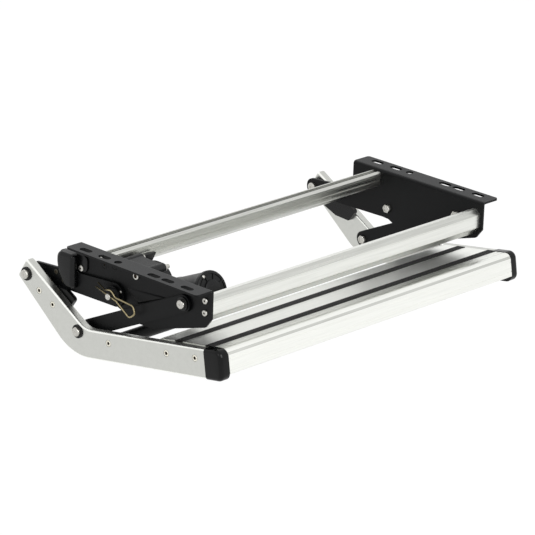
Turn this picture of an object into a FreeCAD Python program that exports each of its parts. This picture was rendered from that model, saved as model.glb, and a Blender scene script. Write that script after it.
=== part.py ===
import FreeCAD, Part
import math
import os
import re
import Sketcher

# Electric caravan step, folded. Two bent steel side plates carry a front and a rear
# crossmember. Each side has a long lower link and a short upper link that swing a cranked
# aluminium arm, and the two arms carry the tread. A gear motor inside the left plate turns
# the left upper link through a shaft with a release pin and an R-clip.
# Millimetres. X runs across the caravan, -Y is the side people step on, Z is up. The origin
# is the middle of the mounting plane, which is the tops of the two flanges.

SIZES = [
    # Side plates
    ("flange_wide", 29.0, "side plate face to outer edge of its flange"),
    ("web_inner", 268.0, "centre to inner face of a side plate"),
    ("sheet", 3.0, "thickness of the side plate sheet"),
    ("bend_inside", 1.5, "inside radius of the flange bend"),
    ("plate_half", 124.0, "half the length of a side plate"),
    ("nose_drop", 41.0, "flange to front corner cut"),
    ("nose_cut", 11.0, "length of the front corner cut"),
    ("nose_cut_drop", 55.0, "flange to foot of the front corner cut"),
    ("lobe_front", 15.0, "middle to front of the lowest edge"),
    ("lobe_back", 22.0, "middle to back of the lowest edge"),
    ("lobe_drop", 85.0, "flange to lowest edge"),
    ("waist", 52.0, "middle to foot of the rear slope"),
    ("waist_drop", 71.0, "flange to foot of the rear slope"),
    ("tail_drop", 66.0, "flange to lower rear corner"),
    ("corner_round", 4.0, "rounding of sheet corners"),
    ("slot_edge", 11.0, "edge of a flange to its slots"),
    ("slot_width", 9.5, "width of a slot"),
    ("slot_length", 21.0, "end to end length of a slot"),
    ("slot_end", 28.0, "end of a flange to its outer slots"),
    ("slot_middle", 60.0, "middle to middle slots"),
    ("slot_inner", 34.0, "middle to inner slot and to the round hole"),
    ("round_hole", 5.5, "radius of the round hole"),
    # Linkage
    ("front_pivot_y", -75.0, "lower link on the plate"),
    ("front_pivot_z", -31.0, "lower link on the plate"),
    ("drive_pivot_y", 54.0, "upper link on the plate"),
    ("drive_pivot_z", -55.0, "upper link on the plate"),
    ("knee_y", 102.0, "lower link on the arm"),
    ("knee_z", -116.0, "lower link on the arm"),
    ("heel_y", 205.0, "upper link on the arm"),
    ("heel_z", -62.0, "upper link on the arm"),
    ("fold_tilt", 9.5, "nose-up tilt of the folded tread, degrees"),
    ("joint_gap", 0.3, "gap between faces that move past each other"),
    ("link_sheet", 4.0, "thickness of a link"),
    ("link_half", 12.0, "half width of a link"),
    ("drive_lobe", 17.0, "half width of an upper link at the plate"),
    ("pivot_round", 5.0, "radius of the pivot bolts"),
    ("running", 0.05, "running clearance on radius"),
    ("loose", 0.2, "clearance on radius of a fixed screw"),
    ("pivot_head", 6.5, "radius of the pivot bolt heads"),
    ("pivot_head_height", 4.5, "height of the pivot bolt heads"),
    ("washer", 9.5, "radius of the black pivot washers"),
    ("washer_thick", 1.5, "thickness of the black pivot washers"),
    # Crossmembers
    ("front_set_back", 5.0, "plate front edge to crossmember face"),
    ("front_top", 12.0, "flange down to the front crossmember"),
    ("front_brow", 7.0, "fall of the sloping top face"),
    ("front_height", 41.0, "height of the front crossmember"),
    ("front_depth", 13.0, "depth of the front crossmember"),
    ("front_chin", 10.0, "depth of the sloping lower face"),
    ("front_chin_rise", 15.0, "height of the sloping lower face"),
    ("profile_wall", 2.0, "wall of the extrusions"),
    ("port_high", 17.5, "flange down to the upper screw"),
    ("port_low", 34.5, "flange down to the lower screw"),
    ("rear_face", 70.0, "middle to front face of the rear crossmember"),
    ("rear_depth", 18.0, "depth of the rear crossmember"),
    ("rear_top", 4.0, "flange down to the rear crossmember"),
    ("rear_height", 22.0, "height of the rear crossmember"),
    ("channel_mouth", 4.0, "mouth of the channel along the rear crossmember"),
    ("channel_deep", 5.0, "depth of the channel"),
    ("port", 2.5, "radius of the extrusion screws"),
    ("boss", 4.6, "radius around a screw port"),
    ("button", 4.5, "radius of button heads"),
    ("button_height", 2.4, "height of button heads"),
    ("screw_reach", 20.0, "screw length in an extrusion"),
    ("flat_head", 4.8, "radius of flat heads"),
    ("flat_deep", 1.5, "depth of flat heads"),
    # Arms, measured from the knee with the tread level
    ("arm_gap", 6.7, "outer face of a link to the arm"),
    ("arm_thick", 14.0, "thickness of an arm"),
    ("arm_wall", 2.0, "wall of the arm tube"),
    ("arm_edge", 3.0, "rounding along the arm edges"),
    ("arm_top", 4.0, "arm top above the knee"),
    ("arm_bottom", 36.5, "arm bottom below the knee"),
    ("arm_front", 242.0, "knee to front end"),
    ("top_bend", 13.7, "knee to bend of the top edge"),
    ("bottom_bend", 18.0, "knee to bend of the bottom edge"),
    ("top_bend_radius", 35.0, "bend radius of the top edge"),
    ("bottom_bend_radius", 80.0, "bend radius of the bottom edge"),
    ("heel_low_y", 111.9, "knee to lower rear corner"),
    ("heel_low_z", 67.0, "knee to lower rear corner"),
    ("heel_high_y", 91.2, "knee to upper rear corner"),
    ("heel_high_z", 91.3, "knee to upper rear corner"),
    ("cap_reach", 30.5, "length of an end cap"),
    ("cap_proud", 1.2, "end cap outside the arm"),
    ("cap_corner", 8.0, "rounding of an end cap"),
    ("tongue", 14.0, "end cap tongue inside the arm"),
    # Tread
    ("tread_front", 273.0, "knee to front of the tread"),
    ("tread_back", 146.0, "knee to back of the tread"),
    ("tread_top", 4.5, "tread surface above the knee"),
    ("tread_deep", 22.5, "thickness of the tread"),
    ("lip_bottom", 30.0, "front lip below the knee"),
    ("lip_wide", 12.0, "thickness of the front lip"),
    ("nose_round", 10.0, "rounding of the tread nose"),
    ("grip_wide", 15.0, "width of a grip strip"),
    ("grip_deep", 1.2, "depth of a grip groove"),
    ("grip_proud", 0.8, "grip strip above the tread"),
    ("grip_front", 246.0, "knee to front edge of the front strip"),
    ("grip_pitch", 57.0, "strip to strip"),
    ("screw_one", 223.5, "knee to front tread screw"),
    ("screw_two", 170.0, "knee to rear tread screw"),
    ("screw_three", 58.7, "knee to cross tube screw"),
    ("screw_drop", 10.0, "arm screws below the knee"),
    ("tube_round", 9.0, "radius of the cross tube"),
    # Upper link crossbar
    ("bar_y", 161.0, "middle of the link crossbar"),
    ("bar_z", -58.0, "middle of the link crossbar"),
    ("bar_long", 30.0, "long side of the crossbar"),
    ("bar_short", 13.0, "short side of the crossbar"),
    ("bar_lean", 30.0, "lean of the crossbar, degrees"),
    ("bar_screw", 8.5, "crossbar middle to a screw"),
    ("low_head", 0.6, "height of the crossbar screw heads"),
    ("block_in", 5.8, "buffer block inside the arm"),
    ("block_front", 15.5, "knee to front of a buffer block"),
    ("block_front_up", 38.5, "knee up to its front"),
    ("block_slope", 15.0, "cut of its corners"),
    ("block_back", 86.0, "knee to its rear"),
    ("block_back_up", 44.5, "knee up to its rear"),
    ("block_screw_rear_y", 70.5, "knee to the rear block screw"),
    ("block_screw_rear_z", 49.0, "knee up to the rear block screw"),
    ("block_screw_front_y", 46.0, "knee to the front block screw"),
    ("block_screw_front_z", 32.0, "knee up to the front block screw"),
    # Gear motor
    ("case_round", 29.0, "radius of the worm wheel case"),
    ("case_gap", 12.0, "side plate to outer face of the case"),
    ("case_wide", 61.0, "outer to inner face of the case"),
    ("cover_thick", 4.0, "thickness of the gear cover"),
    ("worm_inset", 14.0, "inner face of the case to the motor axis"),
    ("motor_z", 30.3, "flange down to the middle of the motor's front end"),
    ("motor_round", 26.0, "radius of the motor"),
    ("motor_front", 64.5, "middle to the middle of the motor's front end"),
    ("motor_back", 60.0, "length of the motor"),
    ("motor_cap", 6.0, "length of the motor end cap"),
    ("worm_round", 13.0, "radius of the worm tunnel"),
    ("worm_end", 136.0, "motor front to the end of the worm tunnel"),
    ("motor_lean", 24.0, "fall of the motor axis to the rear, degrees"),
    ("shaft", 9.0, "radius of the output shaft"),
    ("shaft_grip", 36.0, "output shaft inside the side plate"),
    ("hub", 13.0, "radius of the shaft hub"),
    ("hub_thick", 4.2, "thickness of the hub on the left upper link"),
    ("pin", 4.5, "radius of the release pin"),
    ("pin_out", 9.5, "pin outside the hub"),
    ("clip_out", 5.0, "hub to the plane of the R-clip"),
    ("clip_wire", 1.25, "radius of the R-clip wire"),
    ("clip_lean", 14.0, "slope of the R-clip, degrees"),
    ("bolt_y", 17.0, "upper motor bolt"),
    ("bolt_z", 19.0, "flange down to the upper motor bolt"),
    ("bolt_low_y", 88.5, "lower motor bolt"),
    ("bolt_low_z", 56.0, "flange down to the lower motor bolt"),
    ("bolt_rear_y", 59.0, "rear motor bolt"),
    ("bolt_rear_z", 17.0, "flange down to the rear motor bolt"),
    ("bolt", 3.0, "radius of the motor bolts"),
    ("lug", 7.0, "radius of the motor lugs"),
    ("lug_inset", 27.0, "inner face of the case to the lugs"),
    ("bolt_end", 10.0, "motor bolts inside the lugs"),
    ("nut", 5.2, "radius of the motor nuts"),
    ("nut_thick", 4.5, "thickness of the motor nuts"),
    # Rear cover
    ("cover_deep", 14.0, "side plate to outer face of the rear cover"),
    ("cover_wall", 2.5, "wall of the rear cover"),
    ("cover_lap", 14.0, "rear cover over the end of the plate"),
    ("cover_reach", 36.0, "end of the plate to the back of the rear cover"),
    ("cover_top", 17.0, "flange down to top of the rear cover"),
    ("cover_step", 41.5, "flange down to the link recess"),
    ("cover_low", 67.0, "flange down to bottom of the rear cover"),
    ("cover_screw_in", 3.5, "end of the plate to the rear cover screw"),
    ("cover_screw_z", 36.0, "flange down to the rear cover screw"),
]

# Places that follow from the sizes, so that what seats on a piece moves with it
FITS = [
    ("flange_outer", "web_inner + sheet + flange_wide", "centre to outer edge of a flange"),
    ("slot_across", "flange_outer - slot_edge", "centre to slot line"),
    ("slot_outer", "plate_half - slot_end", "middle to outer slots"),
    ("link_face", "web_inner + sheet + joint_gap + link_sheet", "centre to outer face of a link"),
    ("arm_inner", "link_face + arm_gap", "centre to inner face of an arm"),
    ("hub_face", "link_face + hub_thick", "centre to outer face of the hub"),
    ("pin_end", "hub_face + pin_out", "centre to end of the release pin"),
    ("clip_plane", "hub_face + clip_out", "centre to the plane of the R-clip"),
    ("case_outer", "web_inner - case_gap", "centre to outer face of the case"),
    ("case_inner", "case_outer - case_wide", "centre to inner face of the case"),
    ("motor_x", "case_inner + worm_inset", "centre to motor axis"),
    ("lug_inner", "case_inner + lug_inset", "centre to inner face of the lugs"),
    ("bolt_inner", "lug_inner - bolt_end", "centre to inner end of the motor bolts"),
    ("shaft_inner", "web_inner - shaft_grip", "centre to inner end of the output shaft"),
    ("cover_outer", "web_inner + sheet + cover_deep", "centre to outer face of the rear cover"),
    ("cover_front", "plate_half - cover_lap", "middle to front edge of the rear cover"),
    ("cover_back", "plate_half + cover_reach", "middle to back of the rear cover"),
    ("cover_screw_y", "plate_half - cover_screw_in", "middle to the rear cover screw"),
]

doc = FreeCAD.newDocument("caravan_step")
sheet = doc.addObject("Spreadsheet::Sheet", "Size")
for row, (name, number, note) in enumerate(SIZES + FITS, start=1):
    sheet.set("A%d" % row, name)
    sheet.set("B%d" % row, "=" + number if isinstance(number, str) else str(number))
    sheet.setAlias("B%d" % row, name)
    sheet.set("C%d" % row, note)
doc.recompute()
NAMES = {name for name, number, note in SIZES + FITS}
LEFT, RIGHT = "left", "right"
parts = []


def bind(text):
    """Point every size name in an expression at the sheet."""
    return re.sub(r"[A-Za-z_]\w*", lambda word: ("Size." if word[0] in NAMES else "") + word[0],
                  str(text))


def value(text):
    """The number that an expression gives."""
    result = sheet.evalExpression(bind(text))
    return float(getattr(result, "Value", result))


def new_body(name, place=None, lean=None):
    """A body, with a bound place and a bound turn about X where it has them."""
    body = doc.addObject("PartDesign::Body", name)
    body.Label = name
    body.AllowCompound = True
    if place:
        for axis, text in zip("xyz", place):
            body.setExpression("Placement.Base." + axis, bind(text))
    if lean:
        body.Placement.Rotation = FreeCAD.Rotation(FreeCAD.Vector(1, 0, 0), value(lean))
        body.setExpression("Placement.Rotation.Angle", bind(lean))
    parts.append(body)
    return body


def new_sketch(body, role, offset="0"):
    """A sketch on one of the body's own origin planes."""
    sketch = body.newObject("Sketcher::SketchObject", "sketch")
    plane = next(item for item in body.Origin.OriginFeatures if item.Role == role)
    sketch.AttachmentSupport = (plane, "")
    sketch.MapMode = "FlatFace"
    sketch.AttachmentOffset.Base.z = value(offset)
    sketch.setExpression("AttachmentOffset.Base.z", bind(offset))
    return sketch


def hold(sketch, geometry, point, across, up):
    """Fix a point of a sketch at two expressions."""
    for kind, text in (("DistanceX", across), ("DistanceY", up)):
        index = sketch.addConstraint(Sketcher.Constraint(kind, -1, 1, geometry, point, value(text)))
        sketch.setExpression("Constraints[%d]" % index, bind(text))


def set_radius(sketch, geometry, radius):
    index = sketch.addConstraint(Sketcher.Constraint("Radius", geometry, value(radius)))
    sketch.setExpression("Constraints[%d]" % index, bind(radius))


def draw_circle(sketch, across, up, radius):
    centre = FreeCAD.Vector(value(across), value(up), 0)
    geometry = sketch.addGeometry(Part.Circle(centre, FreeCAD.Vector(0, 0, 1), value(radius)))
    hold(sketch, geometry, 3, across, up)
    set_radius(sketch, geometry, radius)


def turn_of(vector):
    return math.atan2(vector.y, vector.x)


def draw_loop(sketch, corners, closed=True):
    """Straight runs through corners, each (across, up) or (across, up, radius)."""
    spots = [FreeCAD.Vector(value(corner[0]), value(corner[1]), 0) for corner in corners]
    count = len(spots)
    ends = {}
    rounds = {}
    for place, spot in enumerate(spots):
        ends[place] = (spot, spot)
        if len(corners[place]) < 3:
            continue
        radius = value(corners[place][2])
        before = (spots[place - 1] - spot).normalize()
        after = (spots[(place + 1) % count] - spot).normalize()
        half = before.getAngle(after) / 2
        centre = spot + (before + after).normalize() * (radius / math.sin(half))
        reach = radius / math.tan(half)
        ends[place] = (spot + before * reach, spot + after * reach)
        rounds[place] = (centre, radius, before.cross(after).z < 0)
    lines = {}
    for place in range(count if closed else count - 1):
        finish = ends[(place + 1) % count][0]
        lines[place] = sketch.addGeometry(Part.LineSegment(ends[place][1], finish))
    for place in range(count):
        before = lines.get((place - 1) % count)
        after = lines.get(place)
        across, up = corners[place][:2]
        if place in rounds:
            centre, radius, left_turn = rounds[place]
            start, finish = ends[place] if left_turn else ends[place][::-1]
            low, high = turn_of(start - centre), turn_of(finish - centre)
            if high < low:
                high += 2 * math.pi
            circle = Part.Circle(centre, FreeCAD.Vector(0, 0, 1), radius)
            arc = sketch.addGeometry(Part.ArcOfCircle(circle, low, high))
            first, last = (1, 2) if left_turn else (2, 1)
            sketch.addConstraint(Sketcher.Constraint("Tangent", before, 2, arc, first))
            sketch.addConstraint(Sketcher.Constraint("Tangent", after, 1, arc, last))
            set_radius(sketch, arc, corners[place][2])
            corner = sketch.addGeometry(Part.Point(spots[place]), True)
            sketch.addConstraint(Sketcher.Constraint("PointOnObject", corner, 1, before))
            sketch.addConstraint(Sketcher.Constraint("PointOnObject", corner, 1, after))
            hold(sketch, corner, 1, across, up)
        elif before is not None and after is not None and (closed or place > 0):
            sketch.addConstraint(Sketcher.Constraint("Coincident", before, 2, after, 1))
            hold(sketch, after, 1, across, up)
        elif place == 0:
            hold(sketch, after, 1, across, up)
        else:
            hold(sketch, before, 2, across, up)


def draw_slot(sketch, across, up, length, width):
    """A slot whose length runs up the sketch."""
    radius = "(%s) / 2" % width
    low = "(%s) - (%s) / 2" % (up, length)
    high = "(%s) + (%s) / 2" % (up, length)
    left = "(%s) - %s" % (across, radius)
    right = "(%s) + %s" % (across, radius)
    turn = radius + " * 0.98"
    draw_loop(sketch, [(left, low, turn), (right, low, turn), (right, high, turn), (left, high, turn)])


def finish_feature(feature, sketch):
    feature.Profile = sketch
    sketch.Visibility = False
    doc.recompute()
    return feature


def pad(body, sketch, length, middle=False):
    feature = body.newObject("PartDesign::Pad", "pad")
    feature.Midplane = middle
    feature.setExpression("Length", bind(length))
    return finish_feature(feature, sketch)


def cut(body, sketch, length=None):
    """A pocket towards the sketch normal, or through everything both ways."""
    feature = body.newObject("PartDesign::Pocket", "cut")
    if length is None:
        feature.Type = "ThroughAll"
        feature.Midplane = True
    else:
        feature.Reversed = True
        feature.setExpression("Length", bind(length))
    return finish_feature(feature, sketch)


def span(side, near, far):
    """Start and length along X of something between two distances from the centre."""
    start = near if side == RIGHT else "-(%s)" % far
    return start, "(%s) - (%s)" % (far, near)


def slab(body, side, near, far, corners):
    start, length = span(side, near, far)
    sketch = new_sketch(body, "YZ_Plane", start)
    draw_loop(sketch, corners)
    return pad(body, sketch, length)


def rods(body, side, near, far, radius, spots):
    """Round bars along X through the spots."""
    start, length = span(side, near, far)
    sketch = new_sketch(body, "YZ_Plane", start)
    for across, up in spots:
        draw_circle(sketch, across, up, radius)
    return pad(body, sketch, length)


def holes(body, side, near, far, radius, spots):
    """Round holes along X between two distances from the centre."""
    start, length = span(side, near, far)
    sketch = new_sketch(body, "YZ_Plane", start)
    for across, up in spots:
        draw_circle(sketch, across, up, radius)
    return cut(body, sketch, length)


def drum(body, back, front, radius, across, up):
    """A round bar along Y between two stations."""
    sketch = new_sketch(body, "XZ_Plane", "-(%s)" % back)
    draw_circle(sketch, across, up, radius)
    return pad(body, sketch, "(%s) - (%s)" % (back, front))


def round_edges(body, radius, wanted):
    """Round every edge of the body that passes the test."""
    tip = body.Tip
    names = ["Edge%d" % (place + 1) for place, edge in enumerate(tip.Shape.Edges) if wanted(edge)]
    feature = body.newObject("PartDesign::Fillet", "round")
    feature.Base = (tip, names)
    feature.Radius = value(radius)
    feature.setExpression("Radius", bind(radius))
    doc.recompute()
    return feature


def bar(first, second, half_first, half_second=None):
    """Corners of a bar with rounded ends between two pivots."""
    half_second = half_second or half_first
    (y1, z1), (y2, z2) = first, second
    length = "sqrt(((%s) - (%s)) ^ 2 + ((%s) - (%s)) ^ 2)" % (y2, y1, z2, z1)
    along_y = "((%s) - (%s)) / %s" % (y2, y1, length)
    along_z = "((%s) - (%s)) / %s" % (z2, z1, length)
    corners = []
    for (y, z), half, ahead, aside in ((first, half_first, -1, 1), (first, half_first, -1, -1),
                                       (second, half_second, 1, -1), (second, half_second, 1, 1)):
        across = "(%s) + (%s) * ((%s) * (%d) - (%s) * (%d))" % (y, half, along_y, ahead, along_z, aside)
        up = "(%s) + (%s) * ((%s) * (%d) + (%s) * (%d))" % (z, half, along_z, ahead, along_y, aside)
        corners.append((across, up, "(%s) * 0.95" % half))
    return corners


FRONT_PIVOT = ("front_pivot_y", "front_pivot_z")
DRIVE_PIVOT = ("drive_pivot_y", "drive_pivot_z")
KNEE = ("knee_y", "knee_z")
HEEL = ("heel_y", "heel_z")
HEEL_LEVEL = ("(heel_y - knee_y) * cos(fold_tilt) - (heel_z - knee_z) * sin(fold_tilt)",
              "(heel_y - knee_y) * sin(fold_tilt) + (heel_z - knee_z) * cos(fold_tilt)")
WEB_OUTER = "web_inner + sheet"
LINK_INNER = "web_inner + sheet + joint_gap"
LINK_OUTER = "web_inner + sheet + joint_gap + link_sheet"
ARM_OUTER = "arm_inner + arm_thick"
FRONT_PORT_Y = "front_set_back + front_depth / 2 - plate_half"
FRONT_PORTS = [(FRONT_PORT_Y, "-port_high"), (FRONT_PORT_Y, "-port_low")]
REAR_PORTS = [("rear_face + rear_depth / 2", "boss - rear_top - rear_height + profile_wall / 2")]
MOTOR_BOLTS = [("bolt_y", "-bolt_z"), ("bolt_low_y", "-bolt_low_z"), ("bolt_rear_y", "-bolt_rear_z")]
TREAD_PORTS = [("-screw_one", "-screw_drop"), ("-screw_two", "-screw_drop")]
TUBE_PORT = ("-screw_three", "-screw_drop")

# Side plates
for side in (LEFT, RIGHT):
    sign = "" if side == RIGHT else "-"
    body = new_body("side_plate_" + side)
    sketch = new_sketch(body, "XZ_Plane")
    draw_loop(sketch, [(sign + "web_inner", "-lobe_drop - sheet"),
                       (sign + "web_inner", "0", "bend_inside + sheet"),
                       (sign + "flange_outer", "0"),
                       (sign + "flange_outer", "-sheet"),
                       (sign + "(web_inner + sheet)", "-sheet", "bend_inside"),
                       (sign + "(web_inner + sheet)", "-lobe_drop - sheet")])
    pad(body, sketch, "2 * plate_half", middle=True)
    sketch = new_sketch(body, "YZ_Plane")
    draw_loop(sketch, [("-plate_half - sheet", "-nose_drop"),
                       ("-plate_half", "-nose_drop"),
                       ("nose_cut - plate_half", "-nose_cut_drop", "corner_round"),
                       ("-lobe_front", "-lobe_drop", "corner_round * 2"),
                       ("lobe_back", "-lobe_drop", "corner_round"),
                       ("waist", "-waist_drop", "corner_round"),
                       ("plate_half", "-tail_drop"),
                       ("plate_half + sheet", "-tail_drop"),
                       ("plate_half + sheet", "-lobe_drop - 3 * sheet"),
                       ("-plate_half - sheet", "-lobe_drop - 3 * sheet")])
    cut(body, sketch)
    round_edges(body, "corner_round", lambda edge: abs(edge.BoundBox.ZLength - value("sheet")) < 0.01
                and abs(abs(edge.BoundBox.XMin) - value("flange_outer")) < 0.01
                and edge.BoundBox.XLength < 0.01 and edge.BoundBox.YLength < 0.01)
    sketch = new_sketch(body, "XY_Plane")
    for station in ("slot_outer", "slot_middle", "-slot_inner", "-slot_middle", "-slot_outer"):
        draw_slot(sketch, sign + "slot_across", station, "slot_length", "slot_width")
    draw_circle(sketch, sign + "slot_across", "slot_inner", "round_hole")
    cut(body, sketch)
    sketch = new_sketch(body, "YZ_Plane")
    draw_circle(sketch, *FRONT_PIVOT, "pivot_round")
    for port in FRONT_PORTS:
        draw_circle(sketch, *port, "port + loose")
    draw_circle(sketch, *REAR_PORTS[0], "port + loose")
    if side == LEFT:
        draw_circle(sketch, *DRIVE_PIVOT, "shaft + joint_gap")
        for spot in MOTOR_BOLTS:
            draw_circle(sketch, *spot, "bolt + loose")
        draw_circle(sketch, "cover_screw_y", "-cover_screw_z", "port + loose")
    else:
        draw_circle(sketch, *DRIVE_PIVOT, "pivot_round")
    cut(body, sketch)
    holes(body, side, "web_inner + sheet - flat_deep", "web_inner + 2 * sheet", "flat_head + loose",
          REAR_PORTS + (MOTOR_BOLTS[1:] if side == LEFT else []))

# Crossmembers
body = new_body("front_crossmember")
face = "front_set_back - plate_half"
sketch = new_sketch(body, "YZ_Plane")
draw_loop(sketch, [(face, "-front_top - front_brow", "profile_wall"),
                   (face, "front_chin_rise - front_top - front_height", "profile_wall"),
                   (face + " + front_chin", "-front_top - front_height"),
                   (face + " + front_depth", "-front_top - front_height"),
                   (face + " + front_depth", "-front_top")])
pad(body, sketch, "2 * web_inner", middle=True)
sketch = new_sketch(body, "YZ_Plane")
draw_loop(sketch, [(face + " + profile_wall", "-front_top - front_brow - profile_wall / 2"),
                   (face + " + profile_wall", "front_chin_rise - front_top - front_height"),
                   (face + " + front_chin", "2 * profile_wall - front_top - front_height"),
                   (face + " + front_depth - profile_wall", "2 * profile_wall - front_top - front_height"),
                   (face + " + front_depth - profile_wall", "-front_top - profile_wall")])
cut(body, sketch)
sketch = new_sketch(body, "YZ_Plane")
for port in FRONT_PORTS:
    draw_circle(sketch, *port, "boss + profile_wall / 4")
pad(body, sketch, "2 * web_inner", middle=True)
sketch = new_sketch(body, "YZ_Plane")
for port in FRONT_PORTS:
    draw_circle(sketch, *port, "port")
cut(body, sketch)

body = new_body("rear_crossmember")
sketch = new_sketch(body, "YZ_Plane")
draw_loop(sketch, [("rear_face", "-rear_top", "profile_wall"),
                   ("rear_face", "-rear_top - rear_height", "profile_wall"),
                   ("rear_face + rear_depth", "-rear_top - rear_height", "profile_wall"),
                   ("rear_face + rear_depth", "-rear_top", "profile_wall")])
pad(body, sketch, "2 * web_inner", middle=True)
middle = "rear_face + rear_depth / 2"
sketch = new_sketch(body, "YZ_Plane")
draw_loop(sketch, [(middle + " - channel_mouth / 2", "profile_wall - rear_top"),
                   (middle + " - channel_mouth / 2", "-rear_top - profile_wall / 2"),
                   (middle + " - channel_mouth", "-rear_top - profile_wall / 2"),
                   (middle + " - channel_mouth", "-rear_top - channel_deep"),
                   (middle + " + channel_mouth", "-rear_top - channel_deep"),
                   (middle + " + channel_mouth", "-rear_top - profile_wall / 2"),
                   (middle + " + channel_mouth / 2", "-rear_top - profile_wall / 2"),
                   (middle + " + channel_mouth / 2", "profile_wall - rear_top")])
cut(body, sketch)
sketch = new_sketch(body, "YZ_Plane")
draw_circle(sketch, *REAR_PORTS[0], "port")
for low, high in (("rear_face + profile_wall", middle + " - boss"),
                  (middle + " + boss", "rear_face + rear_depth - profile_wall")):
    draw_loop(sketch, [(low, "-rear_top - channel_deep - profile_wall"),
                       (low, "profile_wall - rear_top - rear_height"),
                       (high, "profile_wall - rear_top - rear_height"),
                       (high, "-rear_top - channel_deep - profile_wall")])
cut(body, sketch)

# Crossmember screws
for side in (LEFT, RIGHT):
    body = new_body("front_crossmember_screws_" + side)
    rods(body, side, "web_inner - screw_reach", WEB_OUTER, "port", FRONT_PORTS)
    rods(body, side, WEB_OUTER, WEB_OUTER + " + button_height", "button", FRONT_PORTS)
    body = new_body("rear_crossmember_screw_" + side)
    rods(body, side, "web_inner - screw_reach", WEB_OUTER, "port", REAR_PORTS)
    rods(body, side, WEB_OUTER + " - flat_deep", WEB_OUTER, "flat_head", REAR_PORTS)

# Pivot bolts on the plates, with a nut on the inner face
for name, side, spot in (("front_pivot_bolt_left", LEFT, FRONT_PIVOT),
                         ("front_pivot_bolt_right", RIGHT, FRONT_PIVOT),
                         ("rear_pivot_bolt_right", RIGHT, DRIVE_PIVOT)):
    body = new_body(name)
    washer = LINK_OUTER + " + joint_gap"
    head = washer + " + washer_thick"
    rods(body, side, "web_inner - pivot_head_height", head, "pivot_round", [spot])
    rods(body, side, head, "arm_inner - joint_gap", "pivot_head", [spot])
    rods(body, side, "web_inner - pivot_head_height", "web_inner", "pivot_head", [spot])
    body = new_body(name.replace("bolt", "washer"))
    rods(body, side, washer, head, "washer", [spot])
    holes(body, side, washer, head, "pivot_round", [spot])

# Gear case, and the motor on it, which slopes down to the rear
MOTOR_PLACE = ("0 - motor_x", "0 - motor_front", "0 - motor_z")
AXIS = ("0", "0")
body = new_body("gear_case")
slab(body, LEFT, "lug_inner + sheet", "case_outer - sheet",
     [("bolt_y - lug * 0.8", "-bolt_z"), ("bolt_y", "lug * 0.8 - bolt_z"),
      ("bolt_rear_y", "lug * 0.8 - bolt_rear_z"),
      ("bolt_rear_y + lug * 0.6", "-bolt_rear_z"), ("bolt_low_y", "-bolt_low_z"),
      ("bolt_low_y", "-bolt_low_z - lug * 0.8"), ("drive_pivot_y", "drive_pivot_z - case_round * 0.7")])
rods(body, LEFT, "lug_inner", "web_inner", "lug", MOTOR_BOLTS)
rods(body, LEFT, "case_inner", "case_outer", "case_round", [DRIVE_PIVOT])
rods(body, LEFT, "case_outer", "web_inner", "shaft + pivot_round", [DRIVE_PIVOT])
for place, length, radius in (("worm_end", "worm_end - motor_back", "worm_round"),
                              ("motor_back + 2 * sheet", "2 * sheet", "motor_round")):
    sketch = new_sketch(body, "XZ_Plane")
    sketch.AttachmentOffset = FreeCAD.Placement(FreeCAD.Vector(), FreeCAD.Rotation(FreeCAD.Vector(1, 0, 0),
                                                                                  -value("motor_lean")))
    sketch.setExpression("AttachmentOffset.Rotation.Angle", bind("0 - motor_lean"))
    sketch.setExpression("AttachmentOffset.Base.y", bind("-motor_z - (%s) * sin(motor_lean)" % place))
    sketch.setExpression("AttachmentOffset.Base.z", bind("motor_front - (%s) * cos(motor_lean)" % place))
    draw_circle(sketch, "-motor_x", "0", radius)
    pad(body, sketch, length)
holes(body, LEFT, "shaft_inner - joint_gap", "web_inner", "shaft + running", [DRIVE_PIVOT])
holes(body, LEFT, "lug_inner", "web_inner", "bolt", MOTOR_BOLTS)

body = new_body("gear_cover")
rods(body, LEFT, "case_inner - cover_thick", "case_inner", "case_round - profile_wall", [DRIVE_PIVOT])
rods(body, LEFT, "case_inner - 2 * cover_thick", "case_inner - cover_thick", "hub", [DRIVE_PIVOT])

body = new_body("motor_can", MOTOR_PLACE, "0 - motor_lean")
drum(body, "motor_back", "motor_cap", "motor_round", *AXIS)
body = new_body("motor_end_cap", MOTOR_PLACE, "0 - motor_lean")
drum(body, "motor_cap", "0", "motor_round + profile_wall / 4", *AXIS)
drum(body, "0", "0 - profile_wall", "hub", *AXIS)
body = new_body("cable_gland", MOTOR_PLACE, "0 - motor_lean")
drum(body, "0", "-4 * profile_wall", "port * 2", "0", "hub / 2 - motor_round")

body = new_body("motor_bolts")
rods(body, LEFT, "bolt_inner", WEB_OUTER, "bolt", MOTOR_BOLTS)
rods(body, LEFT, WEB_OUTER, WEB_OUTER + " + button_height", "button + running", MOTOR_BOLTS[:1])
rods(body, LEFT, WEB_OUTER + " - flat_deep", WEB_OUTER, "flat_head", MOTOR_BOLTS[1:])
rods(body, LEFT, "lug_inner - nut_thick", "lug_inner", "nut", MOTOR_BOLTS)

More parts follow.
